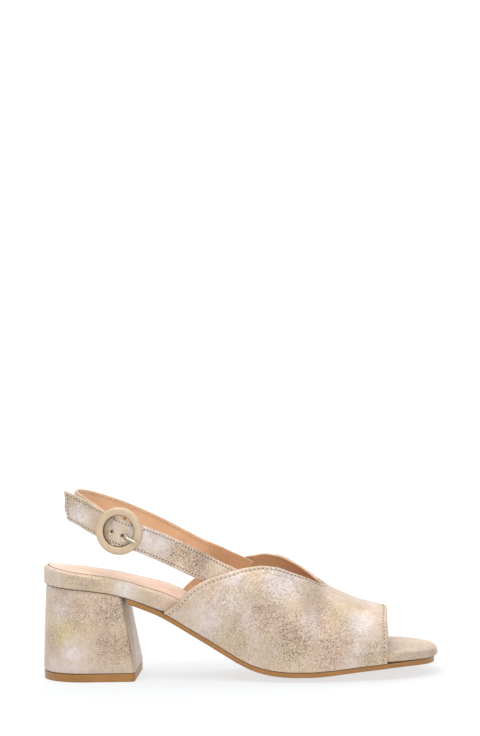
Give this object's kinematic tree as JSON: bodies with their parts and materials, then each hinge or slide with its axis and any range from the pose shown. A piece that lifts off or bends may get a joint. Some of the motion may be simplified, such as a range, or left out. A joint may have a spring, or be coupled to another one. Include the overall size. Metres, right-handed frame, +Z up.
{
  "type": "slingback sandal",
  "caption": "Slingback sandal with a covered block heel, V-throat peep-toe vamp in pearly leather and a round buckle on the ankle strap.",
  "frame": {"origin": "on the floor under the middle of the shoe's length", "axes": "+X from the heel to the toe, +Y to the inner side of the foot, +Z up"},
  "size_m": [0.2369, 0.0806, 0.1138],
  "materials": {
    "metallic_leather": "pearly fine grain",
    "metallic_leather_strap": "pearly fine grain",
    "metallic_leather_wrap": "pearly fine grain",
    "sock_leather": "smooth matte",
    "sole_leather": "waxed edge",
    "heel_tip": "satin",
    "pale_gold_metal": "brushed pale gold"
  },
  "bodies": {
    "root": {"heel_top_piece": "heel_tip", "heel": "metallic_leather", "outsole": "sole_leather", "footbed": "metallic_leather_wrap", "insole": "sock_leather", "upper": "metallic_leather", "sling_strap": "metallic_leather_strap", "buckle_strap": "metallic_leather_strap", "buckle_ring": "pale_gold_metal", "buckle_prong": "pale_gold_metal"}
  },
  "joints": []
}
